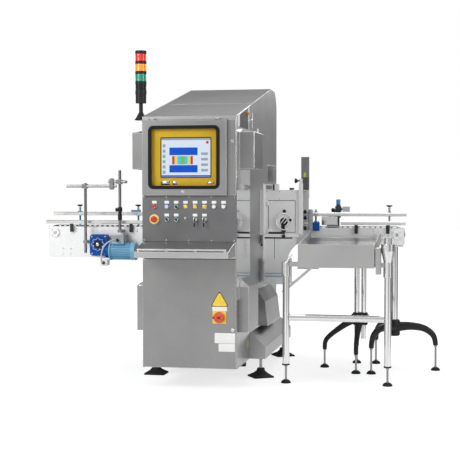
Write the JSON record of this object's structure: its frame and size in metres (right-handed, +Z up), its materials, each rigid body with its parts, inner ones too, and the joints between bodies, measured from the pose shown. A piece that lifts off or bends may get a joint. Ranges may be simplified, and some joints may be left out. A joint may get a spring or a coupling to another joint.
{
  "type": "x-ray inspection machine",
  "caption": "Stainless cabinet and shielded tower with operator screen and push buttons over a slat chain line, with guards, air pusher, reject table and signal tower.",
  "frame": {"origin": "on the floor, under the middle of the machine's whole extent in X and Y", "axes": "+X along the conveyor from infeed to outfeed, +Y from the operator's side to the back, +Z up"},
  "size_m": [2.839, 1.942, 2.135],
  "materials": {
    "brushed_steel": "brushed stainless sheet",
    "chrome_trim": "bright turned or drawn stainless",
    "black_rubber": "matt moulded rubber",
    "clear_pane": "clear flat pane",
    "yellow_bezel": "satin paint",
    "dark_panel": "satin dark grey paint",
    "black_plastic": "fine moulded texture",
    "red_plastic": "glossy moulding",
    "orange_plastic": "glossy moulding",
    "blue_plastic": "glossy moulding",
    "white_plastic": "smooth moulding",
    "yellow_plastic": "glossy moulding",
    "grey_plastic": "smooth moulding",
    "grey_rubber": "matt cable jacket",
    "blue_casting": "painted casting",
    "light_blue_casting": "painted casting",
    "grey_casting": "satin cast housing",
    "black_casting": "black coated casting and tube"
  },
  "bodies": {
    "machine": {"cabinet_shell": "brushed_steel", "roof_panels": "brushed_steel", "tower_walls": "brushed_steel", "base_plinth": "brushed_steel", "levelling_feet": "black_rubber", "upper_hoods": "brushed_steel", "lower_hoods": "brushed_steel", "control_panel": "dark_panel", "device_collars": "black_plastic", "indicator_lamps": "yellow_plastic", "keyboard_tray": "brushed_steel", "signal_tower": "black_plastic", "signal_lenses": "red_plastic", "conveyor_frame": "brushed_steel", "conveyor_chain": "grey_plastic", "gear_reducer": "blue_casting", "drive_motor": "light_blue_casting", "motor_cable": "grey_rubber", "guide_rails": "white_plastic", "rail_brackets": "light_blue_casting", "sensor_stand": "chrome_trim", "tunnel_guards": "brushed_steel", "reject_table": "brushed_steel", "drop_chute": "brushed_steel", "stand_frame": "chrome_trim", "support_tripod": "black_casting", "pneumatic_unit": "blue_casting", "sensor_column": "dark_panel", "xray_generator": "grey_casting", "detector_unit": "grey_casting", "electrical_plate": "grey_plastic"},
    "lower_door": {"lower_door": "brushed_steel", "main_switch_plate": "yellow_plastic"},
    "lower_latch": {"lower_door_latch": "chrome_trim"},
    "main_switch": {"main_switch_knob": "orange_plastic"},
    "upper_door": {"upper_door": "brushed_steel", "operator_screen": "yellow_bezel"},
    "upper_latch": {"upper_door_latch": "chrome_trim"},
    "window_door": {"hmi_door": "brushed_steel", "window_gasket": "black_rubber", "window_pane": "clear_pane"},
    "window_latch": {"hmi_latch": "chrome_trim"},
    "red_button": {"button_red": "red_plastic"},
    "blue_button": {"button_blue": "blue_plastic"},
    "white_button_left": {"button_white_left": "white_plastic"},
    "white_button_right": {"button_white_right": "white_plastic"},
    "stop_button": {"stop_button": "red_plastic"},
    "upper_selector": {"selector_upper": "black_plastic"},
    "left_selector": {"selector_left": "black_plastic"},
    "right_selector": {"selector_right": "black_plastic"},
    "left_key": {"key_left": "chrome_trim"},
    "right_key": {"key_right": "chrome_trim"},
    "drive_shaft": {"drive_shaft": "chrome_trim"},
    "infeed_idler": {"idler_infeed": "chrome_trim"},
    "outfeed_idler": {"idler_outfeed": "chrome_trim"},
    "guard_door": {"guard_door": "brushed_steel"},
    "guard_wheel": {"guard_wheel": "chrome_trim"},
    "guard_knob": {"guard_knob": "black_plastic"},
    "pusher": {"pusher_head": "chrome_trim"},
    "regulator_knob": {"regulator_knob": "blue_plastic"}
  },
  "joints": [
    {"name": "lower_door_hinge", "type": "hinge", "parent": "machine", "child": "lower_door", "pos_m": [-0.4135, -0.743, 0.475], "axis": [0, 0, -1], "range_deg": [0, 110]},
    {"name": "lower_latch_turn", "type": "hinge", "parent": "lower_door", "child": "lower_latch", "pos_m": [0.1595, -0.749, 0.38], "axis": [0, -1, 0], "range_deg": [0, 90]},
    {"name": "main_switch_turn", "type": "hinge", "parent": "lower_door", "child": "main_switch", "pos_m": [0.0765, -0.749, 0.457], "axis": [0, 1, 0], "range_deg": [0, 90]},
    {"name": "upper_door_hinge", "type": "hinge", "parent": "machine", "child": "upper_door", "pos_m": [-0.4135, -0.743, 1.452], "axis": [0, 0, -1], "range_deg": [0, 110]},
    {"name": "upper_latch_turn", "type": "hinge", "parent": "upper_door", "child": "upper_latch", "pos_m": [0.1595, -0.749, 1.553], "axis": [0, -1, 0], "range_deg": [0, 90]},
    {"name": "window_door_hinge", "type": "hinge", "parent": "upper_door", "child": "window_door", "pos_m": [-0.1195, -0.758, 1.694], "axis": [-1, 0, 0], "range_deg": [0, 85]},
    {"name": "window_latch_turn", "type": "hinge", "parent": "window_door", "child": "window_latch", "pos_m": [-0.1505, -0.769, 1.24], "axis": [0, -1, 0], "range_deg": [0, 90]},
    {"name": "red_button_press", "type": "slide", "parent": "machine", "child": "red_button", "axis": [0, 1, 0], "range_m": [0, 0.003], "stiffness_N_per_m": 700, "springref_m": -0.001},
    {"name": "blue_button_press", "type": "slide", "parent": "machine", "child": "blue_button", "axis": [0, 1, 0], "range_m": [0, 0.003], "stiffness_N_per_m": 700, "springref_m": -0.001},
    {"name": "white_left_press", "type": "slide", "parent": "machine", "child": "white_button_left", "axis": [0, 1, 0], "range_m": [0, 0.003], "stiffness_N_per_m": 700, "springref_m": -0.001},
    {"name": "white_right_press", "type": "slide", "parent": "machine", "child": "white_button_right", "axis": [0, 1, 0], "range_m": [0, 0.003], "stiffness_N_per_m": 700, "springref_m": -0.001},
    {"name": "stop_press", "type": "slide", "parent": "machine", "child": "stop_button", "axis": [0, 1, 0], "range_m": [0, 0.003], "stiffness_N_per_m": 1200, "springref_m": -0.001},
    {"name": "upper_selector_turn", "type": "hinge", "parent": "machine", "child": "upper_selector", "pos_m": [-0.201, -0.749, 1.147], "axis": [0, 1, 0], "range_deg": [0, 90]},
    {"name": "left_selector_turn", "type": "hinge", "parent": "machine", "child": "left_selector", "pos_m": [-0.2615, -0.749, 1.067], "axis": [0, 1, 0], "range_deg": [0, 90]},
    {"name": "right_selector_turn", "type": "hinge", "parent": "machine", "child": "right_selector", "pos_m": [-0.201, -0.749, 1.067], "axis": [0, 1, 0], "range_deg": [0, 90]},
    {"name": "left_key_turn", "type": "hinge", "parent": "machine", "child": "left_key", "pos_m": [-0.08, -0.749, 1.067], "axis": [0, 1, 0], "range_deg": [0, 90]},
    {"name": "right_key_turn", "type": "hinge", "parent": "machine", "child": "right_key", "pos_m": [-0.0195, -0.749, 1.067], "axis": [0, 1, 0], "range_deg": [0, 90]},
    {"name": "drive_spin", "type": "hinge", "parent": "machine", "child": "drive_shaft", "pos_m": [-1.0005, 0.331, 0.864], "axis": [0, 1, 0], "continuous": true},
    {"name": "infeed_idler_spin", "type": "hinge", "parent": "machine", "child": "infeed_idler", "pos_m": [-1.35972, 0.331, 0.94222], "axis": [0, 1, 0], "continuous": true},
    {"name": "outfeed_idler_spin", "type": "hinge", "parent": "machine", "child": "outfeed_idler", "pos_m": [1.12072, 0.331, 0.94222], "axis": [0, 1, 0], "continuous": true},
    {"name": "guard_door_hinge", "type": "hinge", "parent": "machine", "child": "guard_door", "pos_m": [0.2355, 0.145, 1.07], "axis": [0, 0, -1], "range_deg": [0, 90]},
    {"name": "guard_wheel_turn", "type": "hinge", "parent": "guard_door", "child": "guard_wheel", "pos_m": [0.352, 0.131, 1.034], "axis": [0, 1, 0], "continuous": true},
    {"name": "guard_knob_turn", "type": "hinge", "parent": "machine", "child": "guard_knob", "pos_m": [0.4005, 0.171, 1.253], "axis": [0, 0, 1], "continuous": true},
    {"name": "pusher_stroke", "type": "slide", "parent": "machine", "child": "pusher", "axis": [0, -1, 0], "range_m": [0, 0.14]},
    {"name": "regulator_turn", "type": "hinge", "parent": "machine", "child": "regulator_knob", "pos_m": [0.6845, 0.581, 1.15], "axis": [0, 0, 1], "range_deg": [0, 330]}
  ],
  "couplings": [
    {"joint": "infeed_idler_spin", "follows": "drive_spin", "ratio": 1.4786},
    {"joint": "outfeed_idler_spin", "follows": "drive_spin", "ratio": 1.4786}
  ]
}
